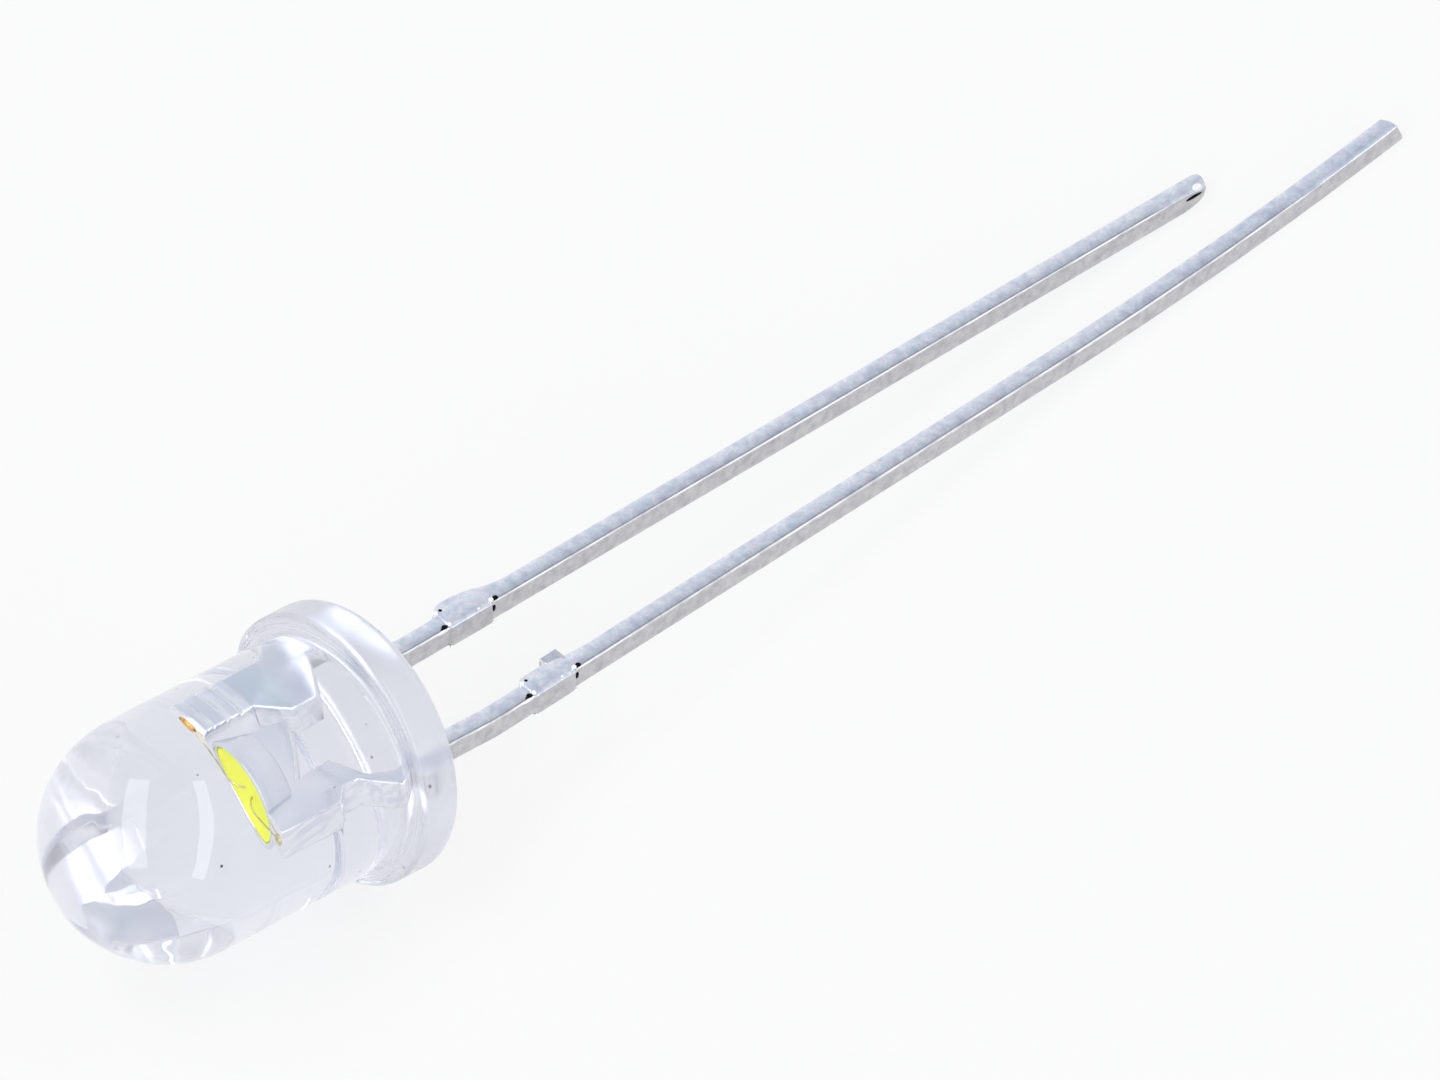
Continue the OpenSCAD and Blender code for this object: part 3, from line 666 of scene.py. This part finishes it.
def plated_strip():
    """Stamped steel strip: bright silver plate inside the lens, dipped in tin outside it.

    The tin on the rolled faces is satin and faintly blue, the blue partly a painted reflection of
    the blue-grey ceiling, with lilac clouds 0.1 mm across; on the sheared sides it is a duller,
    warmer grey. The silver is almost white and even, but for a faint blue-green patch on the post.
    The attribute trim darkens it towards 0, painted shade in pits and grooves, and brightens it
    towards 1, burnished edges with a painted highlight, and beyond, painted glints on burrs; along
    the lead the painted highlight comes and goes.
    """
    m, s, add = material("plated_strip")
    co, x = along_axis(add)
    outside = add("MapRange", {"Value": x, "From Min": -0.0001,
                               "From Max": 0.0001}).outputs["Result"]
    long_co = add("Mapping", {"Vector": co, "Scale": (1000.0, 9000.0, 9000.0)}).outputs["Vector"]
    streak = add("TexNoise", {"Vector": long_co, "Scale": 1.0,
                              "Detail": 4.0, "Roughness": 0.6}).outputs["Fac"]
    cloud = add("TexNoise", {"Vector": co, "Scale": 4500.0,
                             "Detail": 4.0, "Roughness": 0.6}).outputs["Fac"]
    hue = add("TexNoise", {"Vector": co, "Scale": 7000.0, "Detail": 2.0}).outputs["Fac"]
    # the rolled tin's faint blue is partly a painted reflection of the blue-grey ceiling
    rolled = ramp(add, cloud,
                  [(0.32, srgb("c6ceda")), (0.50, srgb("e0e7ee")), (0.68, srgb("f2f6f8"))])
    lilac = add("MapRange", {"Value": hue, "From Min": 0.50, "From Max": 0.60,
                             "To Max": 0.55}).outputs["Result"]
    rolled = mixed(add, lilac, rolled, srgb("dcd4ec"))
    teal = add("MapRange", {"Value": hue, "From Min": 0.48, "From Max": 0.38,
                            "To Max": 0.55}).outputs["Result"]
    rolled = mixed(add, teal, rolled, srgb("cddaf0"))
    sheared = ramp(add, cloud,
                   [(0.32, srgb("b4b3b7")), (0.50, srgb("c4c3c7")), (0.68, srgb("d0cfcf"))])
    normal = add("TexCoord").outputs["Normal"]
    up = add("SeparateXYZ", {0: normal}).outputs["Z"]
    flat = add("Math", {0: up}, operation="ABSOLUTE").outputs[0]
    face = add("MapRange", {"Value": flat, "From Min": 0.45, "From Max": 0.75}).outputs["Result"]
    tin = mixed(add, face, sheared, rolled)
    haze = add("TexNoise", {"Vector": co, "Scale": 900.0, "Detail": 1.0}).outputs["Fac"]
    silver = ramp(add, haze, [(0.35, srgb("e4e7ee")), (0.65, srgb("f2f3f6"))])
    # a faint blue-green patch on the post, fading out from 0.1 to 0.6 mm round a point
    blue_green_patch = add("VectorMath", {0: co, 1: Vector(lie((-1.9, 0.9, 0.25))[0])},
                  operation="DISTANCE").outputs["Value"]
    blue_green_patch = add("MapRange", {"Value": blue_green_patch, "From Min": 0.0006, "From Max": 0.0001,
                               "To Max": 0.35}).outputs["Result"]
    silver = mixed(add, blue_green_patch, silver, srgb("c8ecec"))
    tone = mixed(add, outside, silver, tin)
    trim = add("Attribute", attribute_name="trim").outputs["Fac"]
    # Trim under PLAIN mixes in near-black: painted shade in pits and grooves and beside the drawn
    # edge; the stub's faces darker
    dark = add("MapRange", {"Value": trim, "From Min": 0.5, "From Max": 0.0}).outputs["Result"]
    tone = mixed(add, dark, tone, srgb("16161e"))
    # where along the lead the burnished edges show their painted highlight
    burnish_and_highlight_run = add("MapRange", {"Value": streak, "From Min": 0.42, "From Max": 0.56,
                            "To Min": 0.25, "To Max": 1.0})
    light = add("MapRange", {"Value": trim, "From Min": 0.5, "From Max": 1.0}).outputs["Result"]
    light = add("Math", {0: light, 1: burnish_and_highlight_run.outputs["Result"]}, operation="MULTIPLY").outputs[0]
    # trim over BRIGHT: painted glints, full white
    burr = add("MapRange", {"Value": trim, "From Min": 1.0, "From Max": 1.3}).outputs["Result"]
    light = add("Math", {0: light, 1: burr}, operation="MAXIMUM").outputs[0]
    # painted highlights and glints: the tone mixed towards white
    tone = mixed(add, light, tone, srgb("ffffff"))
    add.link(tone, s.inputs["Base Color"])
    s.inputs["Metallic"].default_value = 1.0
    satin = add("MapRange", {"Value": streak, "To Min": 0.20, "To Max": 0.38}).outputs["Result"]
    gloss = add("Mix", {"Factor": outside, 2: 0.20, 3: satin}, data_type="FLOAT").outputs[0]
    add.link(gloss, s.inputs["Roughness"])
    depth = add("Math", {0: outside, 1: 0.3}, operation="MULTIPLY").outputs[0]
    bump = add("Bump", {"Height": streak, "Strength": depth, "Distance": 0.00001})
    add.link(bump.outputs["Normal"], s.inputs["Normal"])
    return m


def phosphor_resin():
    """Phosphor powder stirred into clear resin and baked: matte bright yellow, finely grained.

    It turns the blue of daylight into yellow, so it glows a little beyond what a pigment gives
    back; the glow is also painted light, making up for lamp light that the lens keeps from it.
    """
    m, s, add = material("phosphor_resin")
    co = add("TexCoord").outputs["Object"]
    grain = add("TexNoise", {"Vector": co, "Scale": 14000.0, "Detail": 3.0}).outputs["Fac"]
    drift = add("TexNoise", {"Vector": co, "Scale": 2500.0, "Detail": 1.0}).outputs["Fac"]
    fine = ramp(add, grain, [(0.3, srgb("faf82a")), (0.7, srgb("feff64"))])
    slow = ramp(add, drift, [(0.35, srgb("f4f6d0")), (0.65, srgb("ffffff"))])
    tone = mixed(add, 1.0, fine, slow, "MULTIPLY")
    add.link(tone, s.inputs["Base Color"])
    s.inputs["Roughness"].default_value = 0.5
    # the glow: partly the phosphor's own, partly painted light
    s.inputs["Emission Color"].default_value = srgb("f4ff30")
    s.inputs["Emission Strength"].default_value = 0.32
    return m


def gold_wire():
    """Drawn gold wire: pale and bright along the loop, deep orange where the tool pressed it."""
    m, s, add = material("gold_wire")
    co = add("TexCoord").outputs["Object"]
    mark = add("TexNoise", {"Vector": co, "Scale": 14000.0, "Detail": 2.0}).outputs["Fac"]
    drawn = ramp(add, mark, [(0.35, srgb("c9bb82")), (0.65, srgb("efe4b4"))])
    pressed = ramp(add, mark,
                   [(0.40, srgb("6b4a1c")), (0.50, srgb("f0a93a")), (0.65, srgb("ffd37a"))])
    trim = add("Attribute", attribute_name="trim").outputs["Fac"]
    foot = add("MapRange", {"Value": trim, "From Min": 0.5, "From Max": 1.0}).outputs["Result"]
    add.link(mixed(add, foot, drawn, pressed), s.inputs["Base Color"])
    s.inputs["Metallic"].default_value = 1.0
    s.inputs["Roughness"].default_value = 0.25
    return m


def sapphire():
    """The chip, grown on sapphire and diced: pale blue-grey and glossy, with faint cells."""
    m, s, add = material("sapphire_chip")
    co = add("TexCoord").outputs["Object"]
    cells = add("TexVoronoi", {"Vector": co, "Scale": 16000.0}).outputs["Distance"]
    tone = ramp(add, cells, [(0.2, srgb("9fb2cc")), (0.8, srgb("c3cfe0"))])
    add.link(tone, s.inputs["Base Color"])
    s.inputs["Roughness"].default_value = 0.12
    return m


def die_resin():
    """Die-attach resin, dispensed and cured: cream, slightly glossy and mottled."""
    m, s, add = material("die_resin")
    co = add("TexCoord").outputs["Object"]
    mottle = add("TexNoise", {"Vector": co, "Scale": 12000.0, "Detail": 2.0}).outputs["Fac"]
    tone = ramp(add, mottle, [(0.3, srgb("cfcbb8")), (0.7, srgb("e4e1d2"))])
    add.link(tone, s.inputs["Base Color"])
    s.inputs["Roughness"].default_value = 0.35
    return m


EPOXY, STRIP, YELLOW, GOLD, CHIP, RESIN = (
    clear_epoxy(), plated_strip(), phosphor_resin(), gold_wire(), sapphire(), die_resin())
PIECES = [
    (lens, EPOXY, "epoxy", "lens_body"), (anvil, STRIP, "tinned_steel", "anvil_lead"),
    (post, STRIP, "tinned_steel", "post_lead"), (phosphor, YELLOW, "phosphor", "phosphor_fill"),
    (post_gold, GOLD, "gold", "post_wire"), (anvil_gold, GOLD, "gold", "anvil_wire")]
for ob, mat, slot, node in PIECES:
    ob.data.materials.append(mat)
    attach(ob, "root")
    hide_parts(node)
NODE_MATERIALS = {
    "lens_body": EPOXY, "anvil_lead": STRIP, "post_lead": STRIP, "phosphor_fill": YELLOW,
    "led_chip": CHIP, "die_attach": RESIN, "post_wire": GOLD, "anvil_wire": GOLD}
for name, mat in NODE_MATERIALS.items():
    me = frame["nodes"][name].data
    me.materials.clear()
    me.materials.append(mat)


# ---- floor, light and camera --------------------------------------------------------------------

SHEET_GLOW = 0.8


def seen(add):
    """1 for what is seen, directly, in metal or through the lens; 0 for light that falls."""
    path = add("LightPath")
    either = add("Math", {0: path.outputs["Is Camera Ray"], 1: path.outputs["Is Glossy Ray"]},
                 operation="MAXIMUM")
    return add("Math", {0: either.outputs[0], 1: path.outputs["Is Transmission Ray"]},
               operation="MAXIMUM").outputs[0]


def floor_sheet():
    """A white sheet under the LED: seen, SHEET_GLOW of it is a glow, the rest keeps the shadow."""
    low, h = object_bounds()[0].z, 3.0
    me = bpy.data.meshes.new("floor")
    me.from_pydata([(-h, -h, low), (h, -h, low), (h, h, low), (-h, h, low)], [], [(0, 1, 2, 3)])
    ob = bpy.data.objects.new("floor", me)
    bpy.context.scene.collection.objects.link(ob)
    m, s, add = material("white_sheet")
    s.inputs["Base Color"].default_value = srgb("fafafa")
    s.inputs["Roughness"].default_value = 0.9
    glow = add("Emission", {"Color": (1, 1, 1, 1), "Strength": 1.0})
    part = add("Math", {0: seen(add), 1: SHEET_GLOW}, operation="MULTIPLY").outputs[0]
    mix = add("MixShader", {"Fac": part, 1: s.outputs[0], 2: glow.outputs[0]})
    add.link(mix.outputs[0], m.node_tree.nodes["Material Output"].inputs["Surface"])
    me.materials.append(m)


def studio_world():
    """An even pale grey for the light that falls; seen, a white sweep under a blue-grey ceiling."""
    world = bpy.data.worlds.new("studio")
    bpy.context.scene.world = world
    world.use_nodes = True
    tree = world.node_tree
    add = adder(tree)
    up = add("SeparateXYZ", {0: add("TexCoord").outputs["Generated"]}).outputs["Z"]
    sky = ramp(add, up, [(0.52, (1, 1, 1, 1)), (0.70, srgb("eff2f8")), (0.84, srgb("e0e5ee")),
                         (1.0, srgb("d6dce7"))])
    falls = tree.nodes["Background"]
    falls.inputs["Color"].default_value = srgb("eef0f6")
    falls.inputs["Strength"].default_value = 0.52
    shows = add("Background", {"Color": sky, "Strength": 1.0})
    mix = add("MixShader", {"Fac": seen(add), 1: falls.outputs[0], 2: shows.outputs[0]})
    add.link(mix.outputs[0], tree.nodes["World Output"].inputs["Surface"])


def placed(x, y, z, origin):
    """The matrix of an object with these three axes and this origin."""
    return Matrix([[column[i] for column in (x, y, z, origin)] for i in range(3)] + [[0, 0, 0, 1]])


def softbox(name, towards, lengthwise, distance, wide, long, radiance):
    """A long lamp that faces the LED from a direction; its power is radiance x pi x its area."""
    lamp = bpy.data.lights.new(name, "AREA")
    lamp.shape = "RECTANGLE"
    lamp.size, lamp.size_y = wide * distance, long * distance
    lamp.energy = radiance * math.pi * lamp.size * lamp.size_y
    away = Vector(towards).normalized()
    y = Vector(lengthwise)
    y = (y - away * y.dot(away)).normalized()
    x = y.cross(away)
    ob = bpy.data.objects.new(name, lamp)
    ob.matrix_world = placed(x, y, away, away * distance)
    bpy.context.scene.collection.objects.link(ob)
    ob.visible_camera = False


def studio_camera(azimuth, elevation, roll, aim, distance, lens_mm):
    """The camera, in the LED's own frame: its angles in degrees, aim point and distance in mm."""
    a, e, r = (math.radians(v) for v in (azimuth, elevation, roll))
    away = Vector((math.sin(a) * math.cos(e), -math.cos(a) * math.cos(e), math.sin(e)))
    right = Vector((math.cos(a), math.sin(a), 0))
    up = away.cross(right)
    right, up = math.cos(r) * right + math.sin(r) * up, -math.sin(r) * right + math.cos(r) * up
    turn = Matrix.Rotation(TILT, 3, "Y")
    place = turn @ (Vector(aim) + away * distance) * MM
    cam = bpy.data.cameras.new("studio_camera")
    cam.lens, cam.sensor_width, cam.sensor_fit = lens_mm, 36.0, "HORIZONTAL"
    cam.clip_start, cam.clip_end = 0.01, 20
    ob = bpy.data.objects.new("studio_camera", cam)
    ob.matrix_world = placed(turn @ right, turn @ up, turn @ away, place)
    bpy.context.scene.collection.objects.link(ob)
    bpy.context.scene.camera = ob


floor_sheet()
studio_world()
softbox("softbox_left", towards=(-0.615, -0.032, 0.788), lengthwise=(0.605, 0.62, 0.498),
        distance=0.6, wide=0.41, long=1.64, radiance=2.3)
softbox("softbox_right", towards=(0.19, -0.82, 0.67), lengthwise=(0.545, 0.609, 0.577),
        distance=0.6, wide=0.24, long=1.84, radiance=2.4)
studio_camera(azimuth=-47.734, elevation=40.338, roll=7.755, aim=(6.562, -2.718, 3.562),
              distance=280.0, lens_mm=356.99)

scene = bpy.context.scene
scene.view_settings.view_transform = "Standard"
scene.cycles.max_bounces = 40
scene.cycles.transmission_bounces = 32
scene.cycles.glossy_bounces = 32
scene.cycles.transparent_max_bounces = 16
